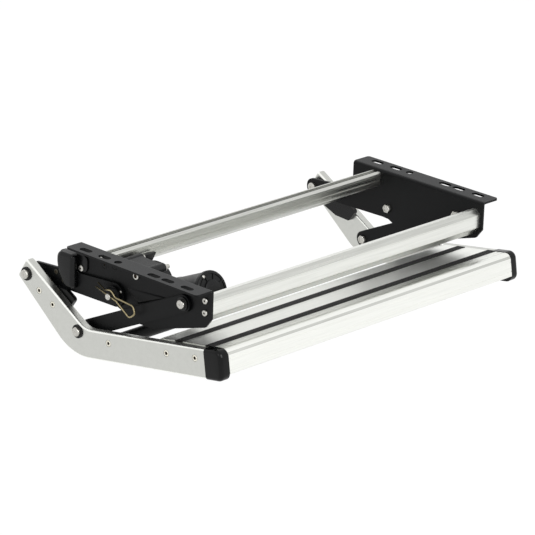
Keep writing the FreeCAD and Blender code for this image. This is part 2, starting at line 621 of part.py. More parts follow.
# Rear cover, a hollow moulding with a thin tab that is screwed to the plate
COVER_SCREW = [("cover_screw_y", "-cover_screw_z")]
body = new_body("rear_cover")
slab(body, LEFT, WEB_OUTER, "cover_outer",
     [("plate_half + profile_wall", "-cover_top"), ("cover_back", "-cover_top", "corner_round * 2"),
      ("cover_back", "-cover_step"), ("plate_half + profile_wall", "-cover_step")])
slab(body, LEFT, LINK_OUTER + " + joint_gap * 3", "cover_outer",
     [("plate_half + profile_wall", "-cover_step"), ("cover_back", "-cover_step"),
      ("cover_back - corner_round * 4", "-cover_low", "corner_round * 2"),
      ("plate_half + profile_wall", "-cover_low", "corner_round")])
round_edges(body, "corner_round * 1.5", lambda edge: edge.BoundBox.XMax < 0.1 - value("cover_outer"))
slab(body, LEFT, WEB_OUTER, WEB_OUTER + " + cover_wall",
     [("cover_front", "-cover_top", "corner_round * 2"), ("plate_half + 2 * profile_wall", "-cover_top"),
      ("plate_half + 2 * profile_wall", "-cover_step"), ("cover_front", "-cover_step", "corner_round * 2")])
start, length = span(LEFT, WEB_OUTER, "cover_outer - cover_wall")
sketch = new_sketch(body, "YZ_Plane", start)
draw_loop(sketch, [("plate_half + profile_wall + cover_wall", "-cover_top - cover_wall"),
                   ("cover_back - cover_wall", "-cover_top - cover_wall", "corner_round"),
                   ("cover_back - cover_wall", "-cover_step"),
                   ("plate_half + profile_wall + cover_wall", "-cover_step")])
cut(body, sketch, length)
holes(body, LEFT, WEB_OUTER, "cover_outer", "port", COVER_SCREW)
body = new_body("rear_cover_screw")
rods(body, LEFT, "web_inner - sheet", WEB_OUTER + " + cover_wall", "port", COVER_SCREW)
seat = WEB_OUTER + " + cover_wall"
rods(body, LEFT, seat, seat + " + button_height", "button", COVER_SCREW)

# Lower links
for side in (LEFT, RIGHT):
    body = new_body("lower_link_" + side)
    slab(body, side, LINK_INNER, LINK_OUTER, bar(FRONT_PIVOT, KNEE, "link_half"))
    holes(body, side, LINK_INNER, LINK_OUTER, "pivot_round + running", [FRONT_PIVOT, KNEE])

# Upper links with their crossbar
for side in (LEFT, RIGHT):
    body = new_body("upper_link_" + side)
    slab(body, side, LINK_INNER, LINK_OUTER, bar(DRIVE_PIVOT, HEEL, "drive_lobe", "link_half"))
    if side == LEFT:
        holes(body, side, LINK_INNER, LINK_OUTER, "shaft", [DRIVE_PIVOT])
    else:
        holes(body, side, LINK_INNER, LINK_OUTER, "pivot_round + running", [DRIVE_PIVOT])
    holes(body, side, LINK_INNER, LINK_OUTER, "pivot_round", [HEEL])
    body = new_body("heel_stud_" + side)
    rods(body, side, LINK_INNER, LINK_OUTER + " + low_head", "pivot_round", [HEEL])
    rods(body, side, LINK_INNER + " - pivot_head_height", LINK_INNER, "pivot_head", [HEEL])

BAR = ("0", "bar_y", "bar_z")
BAR_PORTS = [("-bar_screw", "0"), ("bar_screw", "0")]
body = new_body("link_crossbar", BAR, "bar_lean")
sketch = new_sketch(body, "YZ_Plane")
draw_loop(sketch, [("-bar_long / 2", "-bar_short / 2", "bar_short / 2.1"),
                   ("bar_long / 2", "-bar_short / 2", "bar_short / 2.1"),
                   ("bar_long / 2", "bar_short / 2", "bar_short / 2.1"),
                   ("-bar_long / 2", "bar_short / 2", "bar_short / 2.1")])
pad(body, sketch, "2 * (%s)" % LINK_INNER, middle=True)
sketch = new_sketch(body, "YZ_Plane")
draw_loop(sketch, [("boss - bar_screw", "profile_wall - bar_short / 2"),
                   ("bar_screw - boss", "profile_wall - bar_short / 2"),
                   ("bar_screw - boss", "bar_short / 2 - profile_wall"),
                   ("boss - bar_screw", "bar_short / 2 - profile_wall")])
for port in BAR_PORTS:
    draw_circle(sketch, *port, "port")
cut(body, sketch)
for side in (LEFT, RIGHT):
    link = next(item for item in parts if item.Label == "upper_link_" + side)
    start, length = span(side, LINK_INNER, LINK_OUTER)
    for place in (-1, 1):
        sketch = new_sketch(link, "YZ_Plane", start)
        draw_circle(sketch, "bar_y + (%d) * bar_screw * cos(bar_lean)" % place,
                    "bar_z + (%d) * bar_screw * sin(bar_lean)" % place, "port + loose")
        cut(link, sketch, length)
    body = new_body("link_crossbar_screws_" + side, BAR, "bar_lean")
    rods(body, side, LINK_INNER + " - screw_reach", LINK_OUTER, "port", BAR_PORTS)
    rods(body, side, LINK_OUTER, LINK_OUTER + " + low_head", "button", BAR_PORTS)

# Output shaft with its release pin and clip
body = new_body("output_shaft")
rods(body, LEFT, "shaft_inner", LINK_OUTER, "shaft", [DRIVE_PIVOT])
rods(body, LEFT, LINK_OUTER, "hub_face", "hub", [DRIVE_PIVOT])
holes(body, LEFT, "hub_face - 3 * sheet", "hub_face", "pin", [DRIVE_PIVOT])
CLIP = ("0", "drive_pivot_y", "drive_pivot_z")
body = new_body("release_pin", CLIP, "clip_lean")
rods(body, LEFT, "hub_face - 3 * sheet", "pin_end", "pin", [("0", "0")])
sketch = new_sketch(body, "XZ_Plane")
draw_circle(sketch, "-clip_plane", "0", "clip_wire")
cut(body, sketch)
body = new_body("r_clip", CLIP, "clip_lean")
spine = new_sketch(body, "YZ_Plane", "-clip_plane")
draw_loop(spine, [("6 * pin", "0"), ("-3 * pin", "0", "pin"), ("-9.4 * pin", "-2.2 * pin", "pin * 1.2"),
                  ("-11.3 * pin", "0.2 * pin", "pin * 1.2"), ("-9.8 * pin", "2.2 * pin", "pin * 1.2"),
                  ("-2.4 * pin", "0.9 * pin", "pin * 0.8"), ("0", "2.1 * pin", "pin * 1.3"),
                  ("2.4 * pin", "0.9 * pin", "pin * 0.8"), ("5.6 * pin", "1.7 * pin")], closed=False)
section = new_sketch(body, "XZ_Plane", "-6 * pin")
draw_circle(section, "-clip_plane", "0", "clip_wire")
wire = body.newObject("PartDesign::AdditivePipe", "wire")
wire.Spine = spine
finish_feature(wire, section)

# Arms, drawn with the tread level about the knee
KNEE_PLACE = ("0", "knee_y", "knee_z")
LEVEL = "-fold_tilt"
CENTRE = [("0", "0")]
ARM_PORTS = TREAD_PORTS + [TUBE_PORT]
BLOCK_SPOTS = [("block_screw_rear_y", "block_screw_rear_z"), ("block_screw_front_y", "block_screw_front_z")]
BLOCK = [("block_front", "block_front_up", "corner_round"),
         ("block_front + block_slope", "block_front_up + block_slope * 0.8", "corner_round"),
         ("block_back", "block_back_up + block_slope", "corner_round"),
         ("block_back + block_slope / 2", "block_back_up + block_slope / 2", "corner_round"),
         ("block_back - 2 * block_slope", "block_back_up - block_slope", "corner_round"),
         ("block_front + block_slope", "block_front_up - block_slope", "corner_round")]
for side in (LEFT, RIGHT):
    body = new_body("arm_" + side, KNEE_PLACE, LEVEL)
    slab(body, side, "arm_inner", ARM_OUTER,
         [("-arm_front", "-arm_bottom"), ("bottom_bend", "-arm_bottom", "bottom_bend_radius"),
          ("heel_low_y", "heel_low_z", "corner_round"), ("heel_high_y", "heel_high_z", "corner_round"),
          ("-top_bend", "arm_top", "top_bend_radius"), ("-arm_front", "arm_top")])
    round_edges(body, "arm_edge", lambda edge: edge.BoundBox.XLength < 0.01
                and edge.CenterOfMass.y > value("2 - arm_front") and edge.Length > 2.0
                and not (edge.BoundBox.YLength < 0.5 and edge.BoundBox.ZLength > value("arm_bottom")))
    start, length = span(side, "arm_inner + arm_wall", ARM_OUTER + " - arm_wall")
    sketch = new_sketch(body, "YZ_Plane", start)
    draw_loop(sketch, [("-arm_front - arm_wall", "arm_wall - arm_bottom"),
                       ("bottom_bend - arm_wall / 2", "arm_wall - arm_bottom",
                        "bottom_bend_radius - arm_wall"),
                       ("heel_low_y - 2 * arm_wall", "heel_low_z - arm_wall"),
                       ("heel_high_y - arm_wall / 2", "heel_high_z - 2 * arm_wall"),
                       ("arm_wall / 2 - top_bend", "arm_top - arm_wall", "top_bend_radius + arm_wall"),
                       ("-arm_front - arm_wall", "arm_top - arm_wall")])
    cut(body, sketch, length)
    holes(body, side, "arm_inner", ARM_OUTER, "pivot_round", CENTRE + [HEEL_LEVEL])
    holes(body, side, "arm_inner", ARM_OUTER, "port + loose", ARM_PORTS + BLOCK_SPOTS)
    holes(body, side, ARM_OUTER + " - flat_deep", ARM_OUTER, "flat_head", ARM_PORTS + BLOCK_SPOTS)

    body = new_body("end_cap_" + side, KNEE_PLACE, LEVEL)
    slab(body, side, "arm_inner", ARM_OUTER + " + cap_proud",
         [("-arm_front", "-arm_bottom - cap_proud"), ("-arm_front", "arm_top + cap_proud"),
          ("-arm_front - cap_reach", "arm_top + cap_proud", "cap_corner"),
          ("-arm_front - cap_reach", "-arm_bottom - cap_proud", "cap_corner")])
    outer = value(ARM_OUTER + " + cap_proud")
    round_edges(body, "arm_edge + cap_proud", lambda edge: abs(abs(edge.CenterOfMass.x) - outer) < 0.01
                and abs(edge.CenterOfMass.y + value("arm_front")) > 0.1)
    slab(body, side, "arm_inner + arm_wall", ARM_OUTER + " - arm_wall",
         [("tongue - arm_front", "arm_wall - arm_bottom"), ("tongue - arm_front", "arm_top - arm_wall"),
          ("-arm_front", "arm_top - arm_wall"), ("-arm_front", "arm_wall - arm_bottom")])

    body = new_body("buffer_block_" + side, KNEE_PLACE, LEVEL)
    slab(body, side, "arm_inner - block_in", "arm_inner", BLOCK)
    holes(body, side, "arm_inner - block_in + sheet / 2", "arm_inner", "port", BLOCK_SPOTS)
    body = new_body("buffer_block_screws_" + side, KNEE_PLACE, LEVEL)
    rods(body, side, "arm_inner - block_in + sheet / 2", ARM_OUTER, "port", BLOCK_SPOTS)
    rods(body, side, ARM_OUTER + " - flat_deep", ARM_OUTER, "flat_head", BLOCK_SPOTS)
    body = new_body("tread_screws_" + side, KNEE_PLACE, LEVEL)
    rods(body, side, "arm_inner - screw_reach", ARM_OUTER, "port", ARM_PORTS)
    rods(body, side, ARM_OUTER + " - flat_deep", ARM_OUTER, "flat_head", ARM_PORTS)

    body = new_body("knee_bolt_" + side, KNEE_PLACE, LEVEL)
    washer = ARM_OUTER + " + washer_thick"
    rods(body, side, LINK_INNER + " - joint_gap - pivot_head_height", washer, "pivot_round", CENTRE)
    rods(body, side, washer, washer + " + pivot_head_height", "pivot_head", CENTRE)
    rods(body, side, LINK_INNER + " - joint_gap - pivot_head_height", LINK_INNER + " - joint_gap",
         "pivot_head", CENTRE)
    body = new_body("knee_spacer_" + side, KNEE_PLACE, LEVEL)
    rods(body, side, LINK_OUTER + " + joint_gap", "arm_inner", "washer", CENTRE)
    holes(body, side, LINK_OUTER + " + joint_gap", "arm_inner", "pivot_round", CENTRE)
    body = new_body("heel_bolt_" + side, KNEE_PLACE, LEVEL)
    rods(body, side, LINK_OUTER + " + low_head + joint_gap", washer, "pivot_round", [HEEL_LEVEL])
    rods(body, side, washer, washer + " + pivot_head_height", "pivot_head", [HEEL_LEVEL])
    for name, spot in (("knee_washer_", CENTRE[0]), ("heel_washer_", HEEL_LEVEL)):
        body = new_body(name + side, KNEE_PLACE, LEVEL)
        rods(body, side, ARM_OUTER, washer, "washer", [spot])
        holes(body, side, ARM_OUTER, washer, "pivot_round", [spot])

# Tread with its two grip strips and the cross tube behind it
GRIPS = [("grip_front", "grip_front - grip_wide"),
         ("grip_front - grip_pitch", "grip_front - grip_pitch - grip_wide")]
body = new_body("tread", KNEE_PLACE, LEVEL)
sketch = new_sketch(body, "YZ_Plane")
draw_loop(sketch, [("-tread_back", "tread_top", "profile_wall"), ("-tread_front", "tread_top", "nose_round"),
                   ("-tread_front", "-lip_bottom", "profile_wall"),
                   ("lip_wide - tread_front", "-lip_bottom", "profile_wall"),
                   ("lip_wide - tread_front", "tread_top - tread_deep"),
                   ("-tread_back", "tread_top - tread_deep", "profile_wall")])
pad(body, sketch, "2 * arm_inner", middle=True)
sketch = new_sketch(body, "YZ_Plane")
roof = "tread_top - profile_wall - grip_deep"
floor = "tread_top - tread_deep + profile_wall"
for low, high in (("-screw_one + boss", "-screw_two - boss"),
                  ("-screw_two + boss", "-tread_back - profile_wall"),
                  ("profile_wall + lip_wide - tread_front", "-screw_one - boss")):
    draw_loop(sketch, [(low, floor), (high, floor), (high, roof), (low, roof)])
draw_loop(sketch, [("profile_wall - tread_front", "profile_wall - lip_bottom"),
                   ("lip_wide - profile_wall - tread_front", "profile_wall - lip_bottom"),
                   ("lip_wide - profile_wall - tread_front", roof + " - profile_wall"),
                   ("profile_wall - tread_front", roof + " - 2 * profile_wall")])
for port in TREAD_PORTS:
    draw_circle(sketch, *port, "port")
for near, far in GRIPS:
    draw_loop(sketch, [("-(%s)" % near, "tread_top + sheet"), ("-(%s)" % near, "tread_top - grip_deep"),
                       ("-(%s)" % far, "tread_top - grip_deep"), ("-(%s)" % far, "tread_top + sheet")])
cut(body, sketch)
for name, (near, far) in zip(("grip_strip_front", "grip_strip_rear"), GRIPS):
    body = new_body(name, KNEE_PLACE, LEVEL)
    sketch = new_sketch(body, "YZ_Plane")
    draw_loop(sketch, [("-(%s)" % near, "tread_top - grip_deep"), ("-(%s)" % far, "tread_top - grip_deep"),
                       ("-(%s)" % far, "tread_top + grip_proud"), ("-(%s)" % near, "tread_top + grip_proud")])
    pad(body, sketch, "2 * arm_inner", middle=True)
body = new_body("arm_cross_tube", KNEE_PLACE, LEVEL)
sketch = new_sketch(body, "YZ_Plane")
draw_circle(sketch, *TUBE_PORT, "tube_round")
draw_circle(sketch, *TUBE_PORT, "port")
pad(body, sketch, "2 * arm_inner", middle=True)

# Every piece is checked, then written
doc.recompute()
os.makedirs("parts", exist_ok=True)
for item in doc.Objects:
    if "Invalid" in item.State or "Error" in item.State:
        place = getattr(item.getParent(), "Label", "the document")
        raise ValueError("%s in %s did not build" % (item.Name, place))
for body in parts:
    if body.Shape.isNull() or not body.Shape.isValid():
        raise ValueError(body.Label + " has no valid solid")
    body.Shape.exportStep("parts/%s.step" % body.Label)
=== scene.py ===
import math

import bmesh
import bpy
from mathutils import Matrix, Vector


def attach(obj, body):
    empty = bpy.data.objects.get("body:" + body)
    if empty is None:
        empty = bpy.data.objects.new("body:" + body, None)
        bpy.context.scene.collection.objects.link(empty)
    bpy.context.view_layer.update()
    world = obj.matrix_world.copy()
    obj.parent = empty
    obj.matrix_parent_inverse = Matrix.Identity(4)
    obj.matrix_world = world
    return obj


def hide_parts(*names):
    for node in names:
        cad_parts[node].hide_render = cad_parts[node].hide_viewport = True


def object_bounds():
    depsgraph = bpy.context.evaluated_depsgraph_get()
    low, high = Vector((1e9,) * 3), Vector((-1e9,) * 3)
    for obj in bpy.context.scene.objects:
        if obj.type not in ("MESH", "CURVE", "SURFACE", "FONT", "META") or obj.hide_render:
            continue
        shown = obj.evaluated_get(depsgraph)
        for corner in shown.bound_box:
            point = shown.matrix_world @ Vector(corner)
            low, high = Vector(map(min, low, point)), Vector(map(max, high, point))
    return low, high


# Electric caravan step, folded, seen from the left and above.
# Metres in the step's own frame: X across the step, -Y the side people step on, Z up.
# Pieces are written in millimetres and turned to metres where they are made.
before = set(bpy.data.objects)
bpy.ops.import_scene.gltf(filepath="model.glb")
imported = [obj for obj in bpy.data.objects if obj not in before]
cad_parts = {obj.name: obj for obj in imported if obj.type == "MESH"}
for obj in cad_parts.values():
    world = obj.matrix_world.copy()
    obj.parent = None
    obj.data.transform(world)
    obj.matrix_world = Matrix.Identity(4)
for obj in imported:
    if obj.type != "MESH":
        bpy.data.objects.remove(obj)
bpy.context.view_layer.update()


# Side plates, with the pressed panel above the left lower link.
# Bent 3 mm steel sheet, punched, pressed and then powder coated black. The coat is an even
# satin with a fine orange peel, so the folds and the panel show only as soft pale lines.
def hex_colour(code):
    """An sRGB hex colour as the linear one that a shader needs."""
    parts = [int(code[i:i + 2], 16) / 255 for i in (1, 3, 5)]
    return tuple(p / 12.92 if p <= 0.04045 else ((p + 0.055) / 1.055) ** 2.4 for p in parts) + (1,)


def add_node(material, kind, links=(), **settings):
    """One shader node with its settings, and the sockets that feed it."""
    node = material.node_tree.nodes.new(kind)
    for name, setting in settings.items():
        if hasattr(node, name):
            setattr(node, name, setting)
        else:
            node.inputs[name.replace("_", " ")].default_value = setting
    for socket, source in links:
        material.node_tree.links.new(source, node.inputs[socket])
    return node


def new_finish(name, dark, pale, metallic, smooth, rough, grain, stretch=(1, 1, 1), depth=0.0, sheen=0.5):
    """A finish between two colours and two roughnesses, that vary with the grain, given in metres."""
    material = bpy.data.materials.new(name)
    material.use_nodes = True
    shader = material.node_tree.nodes["Principled BSDF"]
    shader.inputs["Metallic"].default_value = metallic
    shader.inputs["Specular IOR Level"].default_value = sheen
    place = add_node(material, "ShaderNodeTexCoord")
    run = add_node(material, "ShaderNodeMapping", [("Vector", place.outputs["Object"])], Scale=stretch)
    noise = add_node(material, "ShaderNodeTexNoise", [("Vector", run.outputs["Vector"])],
                     Scale=1 / grain, Detail=3.0, Roughness=0.6)
    tone = add_node(material, "ShaderNodeValToRGB", [("Fac", noise.outputs["Fac"])])
    tone.color_ramp.elements[0].position = 0.3
    tone.color_ramp.elements[0].color = hex_colour(dark)
    tone.color_ramp.elements[1].position = 0.7
    tone.color_ramp.elements[1].color = hex_colour(pale)
    gloss = add_node(material, "ShaderNodeMapRange", [("Value", noise.outputs["Fac"])],
                     From_Min=0.3, From_Max=0.7, To_Min=rough, To_Max=smooth)
    material.node_tree.links.new(tone.outputs["Color"], shader.inputs["Base Color"])
    material.node_tree.links.new(gloss.outputs["Result"], shader.inputs["Roughness"])
    if depth:
        bump = add_node(material, "ShaderNodeBump", [("Height", noise.outputs["Fac"])], Distance=depth)
        material.node_tree.links.new(bump.outputs["Normal"], shader.inputs["Normal"])
    return material


def paint_nodes(material, *names):
    """Give CAD pieces their finish."""
    for name in names:
        piece = bpy.data.objects[name]
        if not piece.material_slots:
            piece.data.materials.append(material)
        for place in piece.material_slots:
            place.material = material


def settle(name):
    """Apply the place of the piece just added, and name it."""
    bpy.ops.object.transform_apply(location=True, rotation=True, scale=True)
    piece = bpy.context.object
    piece.name = piece.data.name = name
    return piece


def block(name, low, high):
    """A box between two corners, in millimetres."""
    bpy.ops.object.select_all(action="DESELECT")
    bpy.ops.mesh.primitive_cube_add(size=1, location=[(a + b) / 2000 for a, b in zip(low, high)],
                                    scale=[(b - a) / 1000 for a, b in zip(low, high)])
    return settle(name)


def pick(piece, kind, test):
    """Select in edit mode what passes the test, by its middle in millimetres and its normal or run."""
    bpy.context.view_layer.objects.active = piece
    if piece.mode != "EDIT":
        bpy.ops.object.mode_set(mode="EDIT")
    bpy.ops.mesh.select_mode(type=kind)
    bpy.ops.mesh.select_all(action="DESELECT")
    grid = bmesh.from_edit_mesh(piece.data)
    if kind == "FACE":
        chosen = [face for face in grid.faces if test(face.calc_center_median() * 1000, face.normal)]
    elif kind == "EDGE":
        chosen = [edge for edge in grid.edges
                  if test((edge.verts[0].co + edge.verts[1].co) * 500,
                          (edge.verts[1].co - edge.verts[0].co).normalized())]
    else:
        chosen = [point for point in grid.verts if test(point.co * 1000, point.normal)]
    for item in chosen:
        item.select_set(True)
    grid.select_flush_mode()
    bmesh.update_edit_mesh(piece.data)
    if not chosen:
        raise ValueError("nothing picked on " + piece.name)


def cut_line(piece, point, normal, trim=False):
    """Score a line round a piece, or with trim cut away what lies beyond it."""
    pick(piece, "FACE", lambda middle, facing: True)
    bpy.ops.mesh.bisect(plane_co=[v / 1000 for v in point], plane_no=normal, use_fill=trim, clear_outer=trim)


def bevel(width, segments):
    """Round the picked edges, by a width in millimetres."""
    bpy.ops.mesh.bevel(offset=width / 1000, segments=segments, profile=0.5, affect="EDGES")


def resize(factors, centre):
    """Scale what is picked about a centre in millimetres."""
    bpy.ops.transform.resize(value=factors, center_override=[v / 1000 for v in centre])


def finish_piece(piece, material, slot, body, *nodes, angle=32):
    """Leave edit mode, shade, paint, and fix the piece to its body in place of its CAD nodes."""
    if piece.mode == "EDIT":
        bpy.ops.object.mode_set(mode="OBJECT")
    bpy.ops.object.select_all(action="DESELECT")
    piece.select_set(True)
    bpy.context.view_layer.objects.active = piece
    bpy.ops.object.shade_smooth_by_angle(angle=math.radians(angle))
    if not piece.data.materials:
        piece.data.materials.append(material)
    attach(piece, body)
    if nodes:
        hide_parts(*nodes)
    piece.select_set(False)


def tone_faces(piece, material, test):
    """Give some faces of a finished piece a second tone of its finish."""
    piece.data.materials.append(material)
    for face in piece.data.polygons:
        if test(face.center * 1000, face.normal):
            face.material_index = len(piece.data.materials) - 1


# A satin black. Its orange peel, 1.1 mm wide, is under a pixel here and only softens the shine.
powder_coat = new_finish("powder-coated steel", "#090A0B", "#0E0F10", 0.0, 0.34, 0.44, 0.0011,
                         depth=0.00003, sheen=0.14)
paint_nodes(powder_coat, "side_plate_left", "side_plate_right")
# The same coat on the flange tops, painted a lighter dark grey with a broader and softer shine: painted sheen
# on the faces turned up to the light.
painted_sheen_coat = new_finish("powder-coated steel, painted sheen", "#1B1C1D", "#232425", 0.0, 0.44, 0.54, 0.0011,
                         depth=0.00003, sheen=0.26)
for name in ("side_plate_left", "side_plate_right"):
    tone_faces(bpy.data.objects[name], painted_sheen_coat, lambda middle, facing: facing.z > 0.9 and middle.z > -0.5)

WEB = 271.0
PANEL_RISE = 1.8
panel = block("pressed_panel", (-WEB - PANEL_RISE, -58, -58), (0.2 - WEB, 36, -24))
for point, normal in (((0, 34, -41), (0, 0.6, 0.8)), ((0, 34, -40), (0, 0.094, 0.9955)),
                      ((0, 12, -58), (0, -0.433, -0.901)), ((0, 31, -45), (0, 0.565, -0.825))):
    cut_line(panel, point, normal, trim=True)
pick(panel, "FACE", lambda middle, facing: facing.x < -0.99)
resize((1, 0.9, 0.74), (0, 4, -43))
pick(panel, "EDGE", lambda middle, run: middle.x < 0.1 - WEB - PANEL_RISE)
bevel(1.4, 4)
finish_piece(panel, powder_coat, "powder_coated_steel", "frame", angle=60)


# Front crossmember.
# Aluminium extrusion, cut to length and satin anodised. Its brow has two slopes, a fine line
# parts brow, face and chin, and die lines run its whole length.
def extrude(move):
    """Extrude the picked faces by a move in millimetres."""
    bpy.ops.mesh.extrude_region_move(TRANSFORM_OT_translate={"value": [v / 1000 for v in move]})


def runs_across(run):
    """True for an edge along X."""
    return abs(run.x) > 0.99


# Streaks fifty times as long as they are wide, as an extrusion has them.
ALONG_X = (0.02, 1, 1)
# A pale silver. Real streaks are too fine to show, so they are drawn 1.6 mm wide, about a pixel.
anodised = new_finish("anodised aluminium", "#E2E3DE", "#ECEDE8", 1.0, 0.28, 0.35, 0.0016, ALONG_X, 0.00001)
# A greyer silver, its streaks drawn 2.4 mm wide: painted shade for slopes and bars turned from the light.
shaded = new_finish("anodised aluminium, painted shade", "#BABBB6", "#D4D5D0", 1.0, 0.26, 0.36, 0.0024, ALONG_X, 0.00001)

BAR_END = 268
front_bar = block("front_extrusion", (-BAR_END, -119, -53), (BAR_END, -106, -12))
cut_line(front_bar, (0, -119, -19), (0, -7, 13), trim=True)
cut_line(front_bar, (0, -119, -38), (0, -15, -10), trim=True)
cut_line(front_bar, (0, -113, 0), (0, 1, 0))
pick(front_bar, "EDGE", lambda middle, run: runs_across(run) and abs(middle.y + 113) < 0.1 and middle.z > -17)
bpy.ops.transform.translate(value=(0, 0, 0.0013))
for level in (-20.2, -20.9, -36.4, -37.0):
    cut_line(front_bar, (0, 0, level), (0, 0, 1))
for level in (-20.55, -36.7):
    pick(front_bar, "FACE", lambda middle, facing: facing.y < -0.99 and abs(middle.z - level) < 0.3)
    extrude((0, 0.6, 0))
pick(front_bar, "EDGE", lambda middle, run: runs_across(run) and (
    abs(middle.z + 19) < 0.05 or abs(middle.z + 38) < 0.05 or middle.z > -12.1
    or abs(middle.z + 14.5) < 0.1))
bevel(0.7, 3)
finish_piece(front_bar, anodised, "anodised_aluminium", "frame", "front_crossmember")
# The lower slope of the brow and the chin take the greyer silver, as painted shade.
tone_faces(front_bar, shaded, lambda middle, facing:
           (facing.z > 0.3 and middle.y < -113.2 and middle.z > -20)
           or (facing.z < -0.3 and middle.z < -37.5))


# Rear crossmember.
# A second extrusion with a channel along its top for sliding nuts, round shoulders, and a wide
# and a narrow line along each side.
CHANNEL_Y = 79
rear_bar = block("rear_extrusion", (-BAR_END, 70, -26), (BAR_END, 88, -4))
pick(rear_bar, "EDGE", lambda middle, run: runs_across(run) and middle.z > -5)
bevel(3.6, 6)
pick(rear_bar, "EDGE", lambda middle, run: runs_across(run) and middle.z < -25)
bevel(4.2, 6)
for level in (-8.4, -9.2, -14.8, -16.8):
    cut_line(rear_bar, (0, 0, level), (0, 0, 1))
for level, inward in ((-8.8, 0.7), (-15.8, 1.4)):
    for facing_y in (-1, 1):
        pick(rear_bar, "FACE",
             lambda middle, facing: facing.y * facing_y > 0.99 and abs(middle.z - level) < 0.5)
        extrude((0, -facing_y * inward, 0))
for across in (75.2, 77, 81, 82.8):
    cut_line(rear_bar, (0, across, 0), (0, 1, 0))
pick(rear_bar, "FACE", lambda middle, facing: facing.z > 0.99 and abs(middle.y - CHANNEL_Y) < 1.9)
extrude((0, 0, -1.2))
pick(rear_bar, "FACE",
     lambda middle, facing: facing.z > 0.99 and abs(middle.y - CHANNEL_Y) < 3.9 and middle.z > -5)
extrude((0, 0, -0.6))
# The whole bar takes the greyer silver: painted shade standing in for the darker surroundings it reflects.
finish_piece(rear_bar, shaded, "anodised_aluminium", "frame", "rear_crossmember")


# Screws of the crossmembers and of the rear cover.
# Zinc-plated button-head screws with a star socket, cold-forged and plated bright. The single
# screw of the rear crossmember lies flush in the plate and is coated with it.

# A bright grey with soft clouds, so that each head catches the light a little differently.
zinc = new_finish("zinc-plated steel", "#A9A7A0", "#D2D1CC", 1.0, 0.2, 0.36, 0.0016)
# A dark brown painted into the sockets as painted shade, so that they read as dark stars.
painted_socket_shade = new_finish("socket, painted shade", "#1E160C", "#4A3820", 0.5, 0.45, 0.6, 0.0008)


def drum(name, radius, ends, spot, sides=32):
    """A cylinder along X between two ends, about a spot (y, z), in millimetres."""
    bpy.ops.object.select_all(action="DESELECT")
    bpy.ops.mesh.primitive_cylinder_add(vertices=sides, radius=radius / 1000,
                                        depth=abs(ends[1] - ends[0]) / 1000,
                                        location=(sum(ends) / 2000, spot[0] / 1000, spot[1] / 1000),
                                        rotation=(0, math.pi / 2, 0))
    return settle(name)


def inset(width):
    """Inset the picked faces, by a width in millimetres."""
    bpy.ops.mesh.inset(thickness=width / 1000)


def copy_piece(piece, place):
    """A copy with its own mesh, moved or turned by a matrix."""
    copy = piece.copy()
    copy.data = piece.data.copy()
    bpy.context.scene.collection.objects.link(copy)
    copy.data.transform(place)
    return copy


def join_pieces(first, *others):
    """Make one piece of several."""
    if bpy.context.object and bpy.context.object.mode == "EDIT":
        bpy.ops.object.mode_set(mode="OBJECT")
    bpy.ops.object.select_all(action="DESELECT")
    for piece in (first,) + others:
        piece.select_set(True)
    bpy.context.view_layer.objects.active = first
    bpy.ops.object.join()


def from_spot(middle, spot):
    """How far a point lies from the axis along X through a spot."""
    return math.hypot(middle.y - spot[0], middle.z - spot[1])


def turn_head(piece, top, out, spot, radius, dome, socket, deep, star):
    """Round the rim of a head and press a socket into its top, as a star or round."""
    pick(piece, "EDGE", lambda middle, run: abs(middle.x - top) < 0.01)
    bevel(dome, 4)
    if not socket:
        return
    pick(piece, "FACE", lambda middle, facing: facing.x * out > 0.99 and abs(middle.x - top) < 0.01)
    inset(radius - dome - socket)
    extrude((-out * deep, 0, 0))
    if star:
        pick(piece, "VERT", lambda place, facing: from_spot(place, spot) < socket + 0.05
             and abs(place.x - top) < deep + 0.05
             and math.cos(6 * math.atan2(place.z - spot[1], place.y - spot[0])) < -0.5)
        resize((1, star, star), (0, spot[0], spot[1]))


def paint_socket(piece, material, top, out, spot, socket):
    """Plate a finished screw, and darken the floor and walls of its socket with painted shade."""
    piece.data.materials.append(material)
    tone_faces(piece, painted_socket_shade, lambda middle, facing: from_spot(middle, spot) < socket + 0.02
               and abs(middle.x - top) < 1.6 and (top - middle.x) * out > 0.05)


def add_screws(name, seat, spots, head, shank, reach, body, slot, material, nodes,
               dome=1.3, socket=1.7, deep=1.1, star=0.7, sides=24, out=None):
    """Equal screws along X: the first is turned, the others are copies, and all become one piece.
    seat is where the heads sit, head their radius and height, reach how far the shanks go in."""
    out = out or (1 if seat > 0 else -1)
    top = seat + out * head[1]
    first = drum(name, head[0], (seat, top), spots[0], sides)
    turn_head(first, top, out, spots[0], head[0], dome, socket, deep, star)
    if reach:
        pick(first, "FACE", lambda middle, facing: facing.x * out < -0.99 and abs(middle.x - seat) < 0.01)
        inset(head[0] - shank)
        extrude((-out * reach, 0, 0))
    bpy.ops.object.mode_set(mode="OBJECT")
    paint_socket(first, material, top, out, spots[0], socket)
    copies = [copy_piece(first, Matrix.Translation((0, (spot[0] - spots[0][0]) / 1000,
                                                    (spot[1] - spots[0][1]) / 1000))) for spot in spots[1:]]
    if copies:
        join_pieces(first, *copies)
    finish_piece(first, material, slot, body, *nodes)


